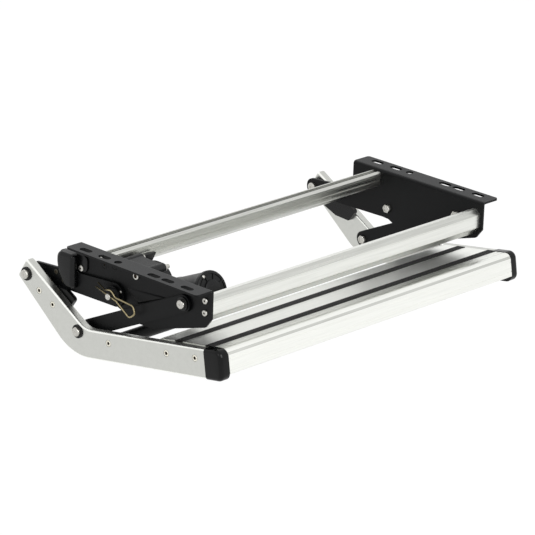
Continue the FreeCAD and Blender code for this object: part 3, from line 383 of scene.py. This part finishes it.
for side, word in ((-1, "left"), (1, "right")):
    add_screws(word + "_front_crossmember_screws", side * WEB, [(-112.5, -17.5), (-112.5, -34.5)],
               (4.5, 2.4), 2.5, 22.9, "frame", "zinc_plated_steel", zinc,
               ["front_crossmember_screws_" + word])
    add_screws(word + "_flush_crossmember_screw", side * (WEB - 1.5), [(CHANNEL_Y, -20.4)], (4.7, 1.4),
               2.5, 21.5, "frame", "powder_coated_steel", powder_coat,
               ["rear_crossmember_screw_" + word], dome=0.3)
    add_screws(word + "_upper_crossmember_screw", side * WEB, [(84, -12)], (3.2, 2.0), 1.8, 2.9,
               "frame", "zinc_plated_steel", zinc, [], dome=1.1, socket=1.2, deep=0.8)
add_screws("cover_tab_screw", -(WEB + 2.5), [(120.5, -36)], (4.5, 2.4), 2.5, 5.4, "frame",
           "zinc_plated_steel", zinc, ["rear_cover_screw"])


# Pivot bolts on the plates, with their washers.
# Shoulder bolts with a plain domed head, turned and zinc-plated, on black nylon washers. A plated
# hexagon nut holds each one inside the web.

# A deep black with an even half gloss.
nylon = new_finish("moulded nylon", "#08090A", "#0C0D0E", 0.0, 0.24, 0.32, 0.012, sheen=0.25)
paint_nodes(nylon, "front_pivot_washer_left", "front_pivot_washer_right", "rear_pivot_washer_right")


BOLT_HEAD, BOLT_SHANK = 6.5, 5.0


def add_pivot(name, side, seat, spot, head_height, inner, body, node, nut=4.5):
    """A domed bolt along X whose head sits at seat and whose shank ends at inner, in a nut."""
    top = side * (seat + head_height)
    bolt = drum(name, BOLT_HEAD, (side * seat, top), spot)
    turn_head(bolt, top, side, spot, BOLT_HEAD, 2.1, 1.3, 0.5, None)
    pick(bolt, "FACE", lambda middle, facing: facing.x * side < -0.99 and abs(middle.x - side * seat) < 0.01)
    inset(BOLT_HEAD - BOLT_SHANK)
    extrude((side * (inner - seat), 0, 0))
    if nut:
        bpy.ops.object.mode_set(mode="OBJECT")
        end = side * (inner - nut)
        nut_piece = drum(name + "_nut", BOLT_HEAD, (side * inner, end), spot, 6)
        pick(nut_piece, "EDGE", lambda middle, run: abs(middle.x - end) < 0.01)
        bevel(0.6, 2)
        pick(nut_piece, "FACE",
             lambda middle, facing: facing.x * side < -0.99 and abs(middle.x - end) < 0.01)
        inset(1.4)
        extrude((side * 0.6, 0, 0))
        join_pieces(bolt, nut_piece)
    finish_piece(bolt, zinc, "zinc_plated_steel", body, node)


FRONT_PIVOT = (-75, -31)
DRIVE_PIVOT = (54, -55)
PLATE_WASHER, WEB_INNER = 277.1, 268
for name, side, spot in (("front_pivot_bolt_left", -1, FRONT_PIVOT),
                         ("front_pivot_bolt_right", 1, FRONT_PIVOT),
                         ("rear_pivot_bolt_right", 1, DRIVE_PIVOT)):
    add_pivot("domed_" + name, side, PLATE_WASHER, spot, 4.6, WEB_INNER, "frame", name)


# Gear case and its cover.
# Die-cast alloy under black paint, with a slightly grainy skin, stiffening ribs, and a bracket
# that reaches to the rear crossmember. Six screws hold the cover.

# A black with the grain of the casting, drawn 1.7 mm wide so that it breaks up the highlights.
cast = new_finish("painted die casting", "#0D0E0F", "#151617", 0.0, 0.34, 0.48, 0.0017,
                  depth=0.00012, sheen=0.3)
paint_nodes(cast, "gear_case", "gear_cover")

bracket = block("gear_case_bracket", (-223, 62, -31), (-190, 68, -16.4))
cut_line(bracket, (-190, 0, -16.4), (0.84, 0, -0.55), trim=True)
pick(bracket, "EDGE", lambda middle, run: True)
bevel(0.8, 2)
finish_piece(bracket, cast, "die_cast_case", "frame")

RIB_TURN = 38
first_rib = block("gear_case_ribs", (-252, 52.5, -27.5), (-224, 55.5, -22.5))
centre = Vector((0, DRIVE_PIVOT[0] / 1000, DRIVE_PIVOT[1] / 1000))
join_pieces(first_rib, *[copy_piece(first_rib, Matrix.Translation(centre)
                                    @ Matrix.Rotation(math.radians(turn), 4, "X")
                                    @ Matrix.Translation(-centre)) for turn in (-RIB_TURN, RIB_TURN)])
pick(first_rib, "EDGE", lambda middle, run: True)
bevel(0.7, 2)
finish_piece(first_rib, cast, "die_cast_case", "frame")

COVER_FACE, COVER_RING = -191.0, 22
ring_turns = [math.radians(30 + 60 * k) for k in range(6)]
add_screws("gear_cover_screws", COVER_FACE, [(DRIVE_PIVOT[0] + COVER_RING * math.cos(turn),
                                              DRIVE_PIVOT[1] + COVER_RING * math.sin(turn))
                                             for turn in ring_turns],
           (2.6, 1.8), 1.5, 4, "frame", "zinc_plated_steel", zinc, [],
           dome=0.7, socket=1.0, deep=0.6, sides=18, out=1)


# Motor with its end cap and gland.
# A drawn steel can, coated black, and a moulded end cap with a stepped ring and ribs. The axis
# falls 24 degrees to the rear, and a ribbed rubber gland closes the hole low in the cap.
def lean(piece, spot, turn, across=0.0):
    """Set a piece drawn about its own origin into its turned place on the folded step."""
    if piece.mode == "EDIT":
        bpy.ops.object.mode_set(mode="OBJECT")
    piece.data.transform(Matrix.Translation((across / 1000, spot[0] / 1000, spot[1] / 1000))
                         @ Matrix.Rotation(turn, 4, "X"))


def barrel(name, radius, ends, sides=64):
    """A cylinder along Y between two ends, about the origin, in millimetres."""
    bpy.ops.object.select_all(action="DESELECT")
    bpy.ops.mesh.primitive_cylinder_add(vertices=sides, radius=radius / 1000,
                                        depth=abs(ends[1] - ends[0]) / 1000,
                                        location=(0, sum(ends) / 2000, 0), rotation=(math.pi / 2, 0, 0))
    return settle(name)


MOTOR = (-64.5, -30.3)
MOTOR_FALL = math.radians(-24)
MOTOR_X = -209
# A smooth black that carries one long dull highlight, as a drawn tube does.
can_coat = new_finish("coated drawn steel", "#0E0F10", "#161718", 0.0, 0.26, 0.36, 0.004,
                      (1, 0.1, 1), sheen=0.4)
can = barrel("motor_can_drawn", 26, (6, 60))
for along in (11, 12.5, 54, 55.5):
    cut_line(can, (0, along, 0), (0, 1, 0))
for along in (11.75, 54.75):
    pick(can, "FACE", lambda middle, facing: abs(facing.y) < 0.1 and abs(middle.y - along) < 0.5)
    resize((0.975, 1, 0.975), (0, along, 0))
lean(can, MOTOR, MOTOR_FALL, MOTOR_X)
finish_piece(can, can_coat, "powder_coated_steel", "frame", "motor_can")

cap = barrel("motor_cap_moulded", 26.5, (0, 6))
pick(cap, "EDGE", lambda middle, run: abs(middle.y) < 0.01)
bevel(2.2, 4)
pick(cap, "FACE", lambda middle, facing: facing.y < -0.99 and abs(middle.y) < 0.01)
inset(2.2)
extrude((0, 1.6, 0))
inset(1.4)
extrude((0, -1.2, 0))
inset(7.2)
extrude((0, -2.2, 0))
pick(cap, "EDGE", lambda middle, run: abs(middle.y + 1.8) < 0.1)
bevel(0.8, 3)
bpy.ops.object.mode_set(mode="OBJECT")
ribs = []
for k in range(8):
    rib = block("motor_cap_rib", (13.5, -0.9, -0.8), (21.5, 0.9, 0.8))
    rib.data.transform(Matrix.Rotation(math.radians(22.5 + 45 * k), 4, "Y"))
    ribs.append(rib)
join_pieces(cap, *ribs)
lean(cap, MOTOR, MOTOR_FALL, MOTOR_X)
finish_piece(cap, nylon, "moulded_plastic", "frame", "motor_end_cap")

BOLT_RING = 22.5
cap_bolts = []
for turn in (-62, 118):
    bolt = barrel("motor_cap_bolt", 2.2, (-1.6, 1), 16)
    pick(bolt, "EDGE", lambda middle, run: middle.y < -1.59)
    bevel(0.7, 3)
    bpy.ops.object.mode_set(mode="OBJECT")
    bolt.data.transform(Matrix.Translation((BOLT_RING / 1000 * math.cos(math.radians(turn)), 0,
                                            BOLT_RING / 1000 * math.sin(math.radians(turn)))))
    cap_bolts.append(bolt)
join_pieces(*cap_bolts)
lean(cap_bolts[0], MOTOR, MOTOR_FALL, MOTOR_X)
finish_piece(cap_bolts[0], zinc, "zinc_plated_steel", "frame")

# A dusty matt black, duller than the nylon round it.
rubber = new_finish("moulded rubber", "#141415", "#1C1C1D", 0.0, 0.55, 0.75, 0.0008,
                    depth=0.00005, sheen=0.3)
gland = barrel("ribbed_cable_gland", 5, (-8, 0), 32)
for along in (-6.6, -5.6, -4.2, -3.2, -1.8, -0.9):
    cut_line(gland, (0, along, 0), (0, 1, 0))
for along in (-6.1, -3.7, -1.35):
    pick(gland, "FACE", lambda middle, facing: abs(facing.y) < 0.1 and abs(middle.y - along) < 0.3)
    resize((0.8, 1, 0.8), (0, along, 0))
pick(gland, "FACE", lambda middle, facing: facing.y < -0.99 and middle.y < -7.9)
inset(2.2)
extrude((0, 4, 0))
bpy.ops.object.mode_set(mode="OBJECT")
gland.data.transform(Matrix.Translation((0, 0, -0.0195)))
lean(gland, MOTOR, MOTOR_FALL, MOTOR_X)
finish_piece(gland, rubber, "black_rubber", "frame", "cable_gland")


# Bolts of the gear motor.
# One socket-head bolt shows bright on the plate, and two flush ones are coated with it. Each ends
# in a nut on the lug inside.
UPPER_BOLT = (17, -19)
FLUSH_BOLTS = [(88.5, -56), (59, -17)]
add_screws("motor_socket_bolt", -WEB, [UPPER_BOLT], (5.0, 2.4), 3, 59, "frame", "zinc_plated_steel", zinc,
           ["motor_bolts"], dome=0.8, socket=2.9, deep=1.6, star=None)
add_screws("motor_flush_bolts", -(WEB - 1.5), FLUSH_BOLTS, (4.7, 1.45), 3, 57.5, "frame",
           "powder_coated_steel", powder_coat, [], dome=0.3)
nuts = []
for spot in [UPPER_BOLT] + FLUSH_BOLTS:
    nut = drum("motor_nut", 5.2, (-222, -217.5), spot, 6)
    pick(nut, "EDGE", lambda middle, run: middle.x > -217.6)
    bevel(0.6, 2)
    bpy.ops.object.mode_set(mode="OBJECT")
    nuts.append(nut)
join_pieces(*nuts)
finish_piece(nuts[0], zinc, "zinc_plated_steel", "frame")


# Rear cover.
# Moulded black nylon over the rear end of the left upper link, held by one screw through a tab,
# with a lip that hooks behind the end of the side plate.
bulge = block("moulded_rear_cover", (-285, 126, -67), (-276.2, 160, -17))
cut_line(bulge, (0, 160, -41.5), (0, 0.847, -0.5315), trim=True)
pick(bulge, "EDGE", lambda middle, run: runs_across(run) and middle.y > 150)
bevel(10.5, 8)
pick(bulge, "EDGE", lambda middle, run: runs_across(run) and middle.y < 145)
bevel(6.6, 7)
pick(bulge, "EDGE", lambda middle, run: middle.x < -284.9)
bevel(6.2, 7)
bpy.ops.object.mode_set(mode="OBJECT")
back_wall = block("rear_cover_back_wall", (-277, 126, -41.5), (-271, 160, -17))
pick(back_wall, "EDGE", lambda middle, run: runs_across(run) and middle.y > 150 and middle.z > -20)
bevel(7.6, 7)
pick(back_wall, "EDGE", lambda middle, run: runs_across(run) and middle.y < 127 and middle.z > -20)
bevel(7.6, 7)
bpy.ops.object.mode_set(mode="OBJECT")
tab = block("rear_cover_tab", (-273.5, 110, -41.5), (-271, 134, -17))
pick(tab, "EDGE", lambda middle, run: runs_across(run) and middle.y < 111)
bevel(7.8, 7)
pick(tab, "EDGE", lambda middle, run: middle.x < -273.4 and middle.y < 130)
bevel(0.9, 3)
bpy.ops.object.mode_set(mode="OBJECT")
join_pieces(bulge, back_wall, tab)
finish_piece(bulge, nylon, "moulded_plastic", "frame", "rear_cover", angle=50)

lip = block("rear_cover_lip", (-268, 117, -54), (-264.5, 135, -22))
pick(lip, "EDGE", lambda middle, run: runs_across(run))
bevel(3, 4)
pick(lip, "EDGE", lambda middle, run: middle.x > -264.6)
bevel(0.8, 2)
finish_piece(lip, nylon, "moulded_plastic", "frame")


# Links and their studs.
# Flat steel bars, punched and coated with the plates. The lower ones are long, the upper ones
# short, and an anodised aluminium crossbar ties the upper ones together.
paint_nodes(powder_coat, "lower_link_left", "lower_link_right", "upper_link_left", "upper_link_right")
# The crossbar takes the same greyer silver, painted shade.
paint_nodes(shaded, "link_crossbar")
HEEL = (205, -62)
# A brownish grey that hardly stands out from the coated links.
dull = new_finish("blackened zinc", "#2C2A25", "#5E5A4E", 0.9, 0.34, 0.5, 0.0012)
CROSSBAR = [(161 + 8.5 * k * math.cos(math.radians(30)), -58 + 8.5 * k * math.sin(math.radians(30)))
            for k in (-1, 1)]
LINK_FACE = 275.3
STUD_INNER, STUD_SEAT = 266.8, 271.3
for side, word in ((-1, "left"), (1, "right")):
    add_screws(word + "_crossbar_screws", side * LINK_FACE, CROSSBAR, (3.6, 0.6), 2.5, 24, "upper_links",
               "zinc_plated_steel", dull, ["link_crossbar_screws_" + word], dome=0.4, socket=1.6, deep=0.5)
    stud = drum("turned_heel_stud_" + word, BOLT_HEAD, (side * STUD_INNER, side * STUD_SEAT), HEEL)
    turn_head(stud, side * STUD_INNER, -side, HEEL, BOLT_HEAD, 1.2, 2.2, 0.8, None)
    pick(stud, "FACE",
         lambda middle, facing: facing.x * side > 0.99 and abs(middle.x - side * STUD_SEAT) < 0.01)
    inset(BOLT_HEAD - BOLT_SHANK)
    extrude((side * 4.6, 0, 0))
    finish_piece(stud, zinc, "zinc_plated_steel", "upper_links", "heel_stud_" + word)


# Output shaft, release pin and clip.
# A coated steel shaft with a plain hub. A plated pin with a domed head goes through it, and an
# R-clip of passivated spring wire keeps the pin, so that the step can be folded by hand.
paint_nodes(powder_coat, "output_shaft")
PIN_RADIUS, PIN_END = 4.5, -289
pin = drum("domed_release_pin", PIN_RADIUS, (-270.5, PIN_END), DRIVE_PIVOT)
turn_head(pin, PIN_END, -1, DRIVE_PIVOT, PIN_RADIUS, 1.4, 0, 0, None)
cut_line(pin, (-287, 0, 0), (1, 0, 0))
cut_line(pin, (-286.4, 0, 0), (1, 0, 0))
finish_piece(pin, zinc, "zinc_plated_steel", "upper_links", "release_pin")
# A dull gold that sets the clip off from the plated bolts.
wire = new_finish("passivated spring wire", "#7E7356", "#B5A986", 1.0, 0.28, 0.4, 0.002)
# The same wire, painted darker on the prongs.
darker_prong_wire = new_finish("spring wire, darker prongs", "#1A1710", "#3A3526", 0.9, 0.34, 0.5, 0.002)
paint_nodes(wire, "r_clip")
tone_faces(bpy.data.objects["r_clip"], darker_prong_wire, lambda middle, facing: middle.y > DRIVE_PIVOT[0] + 5)
add_screws("hub_grub_screw", -LINK_FACE, [(41.5, -47.5)], (1.9, 1.6), 1.2, 3, "upper_links",
           "zinc_plated_steel", zinc, [], dome=0.6, socket=0.7, deep=0.5, sides=18)


# Arms.
# Rectangular aluminium tube, bent on edge and anodised. Bending leaves the faces a little
# uneven, so the sheen has soft clouds and no lines.

# A flat grey silver with soft clouds.
arm_metal = new_finish("anodised bent tube", "#C6C7C2", "#CACBC6", 1.0, 0.28, 0.32, 0.006, depth=0.00001)
paint_nodes(arm_metal, "arm_left", "arm_right")
# Nearly white on the rounded corners of the tube, a painted highlight that draws a fine light line.
painted_edge_highlight = new_finish("anodised bent tube, painted highlight", "#F2F3EE", "#FAFBF6", 1.0, 0.2, 0.26, 0.006)
for name in ("arm_left", "arm_right"):
    tone_faces(bpy.data.objects[name], painted_edge_highlight, lambda middle, facing: 0.25 < abs(facing.x) < 0.97)


# Washers, spacers and buffer blocks on the arms.
# Turned black nylon. The washers sit under the bolt heads, the spacers keep the arms off the
# links, and the buffer blocks on the inner faces stop the arms against the links.
paint_nodes(nylon, "knee_washer_left", "knee_washer_right", "heel_washer_left", "heel_washer_right",
            "knee_spacer_left", "knee_spacer_right", "buffer_block_left", "buffer_block_right")


# Arm screws, knee bolts and heel bolts.
# The countersunk screws are yellow zinc-plated, with painted shade in their star sockets. The knee
# and heel bolts are the plated shoulder bolts of the plates again, longer.
KNEE = (102, -116)
TILT = math.radians(9.5)


def on_arm(spot):
    """A spot given from the knee with the tread level, as (y, z) of the folded step."""
    return (KNEE[0] + spot[0] * math.cos(TILT) + spot[1] * math.sin(TILT),
            KNEE[1] - spot[0] * math.sin(TILT) + spot[1] * math.cos(TILT))


# Nearly silver with a faint gold, which makes these the brightest screws of the step.
yellow_zinc = new_finish("yellow zinc-plated steel", "#E6E1CC", "#FAF8F0", 1.0, 0.16, 0.26, 0.0015)
SCREW_SEAT, ARM_WASHER = 294.5, 297.5
for side, word in ((-1, "left"), (1, "right")):
    add_screws(word + "_tread_screws", side * SCREW_SEAT, [on_arm((-y, -10)) for y in (223.5, 170, 58.7)],
               (4.3, 1.6), 2.5, 32, "tread_assembly", "zinc_plated_steel", yellow_zinc,
               ["tread_screws_" + word], dome=0.3, socket=2.7, deep=1.4, star=0.62)
    add_screws(word + "_buffer_block_screws", side * SCREW_SEAT, [on_arm((70.5, 49)), on_arm((46, 32))],
               (4.3, 1.6), 2.5, 17, "tread_assembly", "zinc_plated_steel", yellow_zinc,
               ["buffer_block_screws_" + word], dome=0.3, socket=2.7, deep=1.4, star=0.62)
    add_pivot("domed_knee_bolt_" + word, side, ARM_WASHER, KNEE, 4.5, WEB, "tread_assembly",
              "knee_bolt_" + word)
    add_pivot("domed_heel_bolt_" + word, side, ARM_WASHER, HEEL, 4.5, 276.2, "tread_assembly",
              "heel_bolt_" + word, nut=0)


# End caps.
# Moulded nylon plugs, pressed into the front ends of the arms, crowned and polished. They are
# drawn about the knee with the tread level, and then tilted with it.

# The deepest black of the step, with small sharp highlights.
gloss_nylon = new_finish("polished nylon", "#050606", "#070808", 0.0, 0.08, 0.12, 0.02, sheen=0.2)


def on_crown(middle, run, outer):
    """True for the outer rim of a cap, but not for its joint or for the lines scored on it."""
    on_rim = middle.z > 5.1 or middle.z < -37.6 or middle.y < -264.1
    on_joint = abs(middle.y + 242) < 0.1
    scored = ((abs(run.y) > 0.9 and abs(middle.z + 16) < 0.1)
              or (abs(run.z) > 0.9 and abs(middle.y + 257) < 0.1))
    return abs(middle.x - outer) < 0.01 and abs(run.x) < 0.1 and on_rim and not on_joint and not scored


for side, word in ((-1, "left"), (1, "right")):
    outer = side * 297.2
    low_x, high_x = sorted((side * 282, outer))
    cap = block("crowned_end_cap_" + word, (low_x, -272.5, -37.7), (high_x, -242, 5.2))
    cut_line(cap, (0, -257, 0), (0, 1, 0))
    cut_line(cap, (0, 0, -16), (0, 0, 1))
    pick(cap, "EDGE", lambda middle, run: runs_across(run) and middle.y < -272.4
         and (middle.z > 5 or middle.z < -37))
    bevel(10.5, 9)
    pick(cap, "EDGE", lambda middle, run: on_crown(middle, run, outer))
    bevel(5.6, 7)
    lean(cap, KNEE, -TILT)
    finish_piece(cap, gloss_nylon, "moulded_plastic", "tread_assembly", "end_cap_" + word, angle=50)


# Tread with its grip strips and the cross tube behind it.
# One wide extrusion with a rounded nose and a deep front lip, anodised, with two grooves that
# hold ribbed rubber strips. A coated tube ties the arms behind it.

# A dusty matt black that makes the strips read as dark bands. Its grain is under a pixel here.
grip = new_finish("grip rubber", "#151515", "#1E1E1E", 0.0, 0.55, 0.75, 0.0008, depth=0.00005, sheen=0.3)
# A paler silver than the front crossmember, with streaks drawn as wide as its own.
bright = new_finish("bright anodised aluminium", "#EDEEE9", "#F6F7F2", 1.0, 0.28, 0.35, 0.0016,
                    ALONG_X, 0.00001)
paint_nodes(powder_coat, "arm_cross_tube")

tread = block("tread_extrusion", (-282, -273, -18), (282, -146, 4.5))
cut_line(tread, (0, -261, 0), (0, 1, 0))
pick(tread, "FACE", lambda middle, facing: facing.z < -0.99 and middle.y < -261)
extrude((0, 0, -12))
pick(tread, "EDGE", lambda middle, run: runs_across(run) and middle.y < -272.9 and middle.z > 4.4)
bevel(10, 8)
pick(tread, "EDGE", lambda middle, run: runs_across(run) and middle.y < -272.9 and middle.z < -29.9)
bevel(2.5, 4)
pick(tread, "EDGE", lambda middle, run: runs_across(run) and middle.y > -146.1 and middle.z > 4.4)
bevel(2, 3)
for across in (-262.6, -261.6, -254.2, -253.4, -246, -231, -189, -174, -151.4, -150.6):
    cut_line(tread, (0, across, 0), (0, 1, 0))
for middle_y, deep in ((-262.1, 0.7), (-253.8, 0.5), (-238.5, 1.2), (-181.5, 1.2), (-151, 0.5)):
    pick(tread, "FACE", lambda middle, facing: facing.z > 0.9 and abs(middle.y - middle_y) < 0.3)
    extrude((0, 0, -deep))
for level in (-8.0, -8.8, -21.6, -22.4):
    cut_line(tread, (0, 0, level), (0, 0, 1))
for level in (-8.4, -22.0):
    pick(tread, "FACE", lambda middle, facing: facing.y < -0.99 and abs(middle.z - level) < 0.3)
    extrude((0, 0.5, 0))
lean(tread, KNEE, -TILT)
finish_piece(tread, bright, "anodised_aluminium", "tread_assembly", "tread")
LEVEL_UP = Vector((0, math.sin(TILT), math.cos(TILT)))
# A band of the rounded nose takes the greyer silver, as painted shade.
tone_faces(tread, shaded, lambda middle, facing: 0.2 < facing.dot(LEVEL_UP) < 0.62 and facing.y < 0)

for word, edge in (("front", -246), ("rear", -189)):
    strip = block("ribbed_grip_strip_" + word, (-281.8, edge + 0.1, 3.3), (281.8, edge + 14.9, 5.3))
    pick(strip, "EDGE", lambda middle, run: runs_across(run) and middle.z > 5.2)
    bevel(0.6, 2)
    for k in range(5):
        for shift in (-0.45, 0.45):
            cut_line(strip, (0, edge + 2.5 + 2.5 * k + shift, 0), (0, 1, 0))
        pick(strip, "FACE",
             lambda middle, facing: facing.z > 0.99 and abs(middle.y - edge - 2.5 - 2.5 * k) < 0.3)
        extrude((0, 0, -0.6))
    lean(strip, KNEE, -TILT)
    finish_piece(strip, grip, "black_rubber", "tread_assembly", "grip_strip_" + word)


# Floor, world, lamps and camera.
# White studio floor that keeps a soft shadow, and large soft lamps. The step hangs from its
# flanges, so the floor lies below the lowest place that the tread reaches when swung out.
def seen_ray(material):
    """One for a ray from the camera, off metal or through glass, and nought for any other."""
    ray = add_node(material, "ShaderNodeLightPath")
    either = add_node(material, "ShaderNodeMath", [(0, ray.outputs["Is Camera Ray"]),
                                                   (1, ray.outputs["Is Glossy Ray"])], operation="MAXIMUM")
    seen = add_node(material, "ShaderNodeMath", [(0, either.outputs[0]),
                                                 (1, ray.outputs["Is Transmission Ray"])], operation="MAXIMUM")
    return seen.outputs[0]


SWING_DROP = 0.16
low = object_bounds()[0]
bpy.ops.object.select_all(action="DESELECT")
bpy.ops.mesh.primitive_plane_add(size=30, location=(0, 0, low.z - SWING_DROP))
floor = bpy.context.object
floor.name = "floor"
# A plain white that glows a little towards the camera, so that it stays white and takes shadows.
white = bpy.data.materials.new("studio floor")
white.use_nodes = True
shader = white.node_tree.nodes["Principled BSDF"]
shader.inputs["Base Color"].default_value = hex_colour("#F2F2F2")
shader.inputs["Roughness"].default_value = 0.9
glow = add_node(white, "ShaderNodeEmission", Color=(1, 1, 1, 1), Strength=1.14)
share = add_node(white, "ShaderNodeMath", [(0, seen_ray(white))], operation="MULTIPLY")
share.inputs[1].default_value = 0.8
mixed = add_node(white, "ShaderNodeMixShader", [("Fac", share.outputs[0]), (1, shader.outputs["BSDF"]),
                                                (2, glow.outputs["Emission"])])
white.node_tree.links.new(mixed.outputs[0], white.node_tree.nodes["Material Output"].inputs["Surface"])
floor.data.materials.append(white)

world = bpy.data.worlds.new("studio")
bpy.context.scene.world = world
world.use_nodes = True
back = world.node_tree.nodes["Background"]
level = add_node(world, "ShaderNodeMapRange", [("Value", seen_ray(world))], To_Min=0.35, To_Max=1.0)
back.inputs["Color"].default_value = (1, 1, 1, 1)
world.node_tree.links.new(level.outputs["Result"], back.inputs["Strength"])

for name, place, power, size in (("key", (-0.2, -2.5, 1.25), 50, 1.8), ("fill", (-2.4, -0.6, 1.4), 9, 1.4),
                                 ("rim", (0.4, 2.0, 1.8), 8, 1.2)):
    lamp = bpy.data.lights.new(name, "AREA")
    lamp.energy = power
    lamp.size = size
    holder = bpy.data.objects.new(name, lamp)
    bpy.context.scene.collection.objects.link(holder)
    holder.location = place
    holder.rotation_mode = "QUATERNION"
    holder.rotation_quaternion = (Vector(place) - Vector((0, 0, -0.1))).to_track_quat("Z", "Y")

camera = bpy.data.cameras.new("camera")
camera.lens = 242.63
camera.sensor_width = 36
camera.clip_end = 100
holder = bpy.data.objects.new("camera", camera)
bpy.context.scene.collection.objects.link(holder)
right = Vector((0.69491, -0.71833, 0.03337))
up = Vector((0.22389, 0.26022, 0.93923))
away = Vector((-0.68336, -0.64521, 0.34166))
placed = Matrix((right, up, away)).transposed().to_4x4()
placed.translation = (-3.41778, -3.19234, 1.63228)
holder.matrix_world = placed
bpy.context.scene.camera = holder
bpy.context.scene.view_settings.view_transform = "Standard"
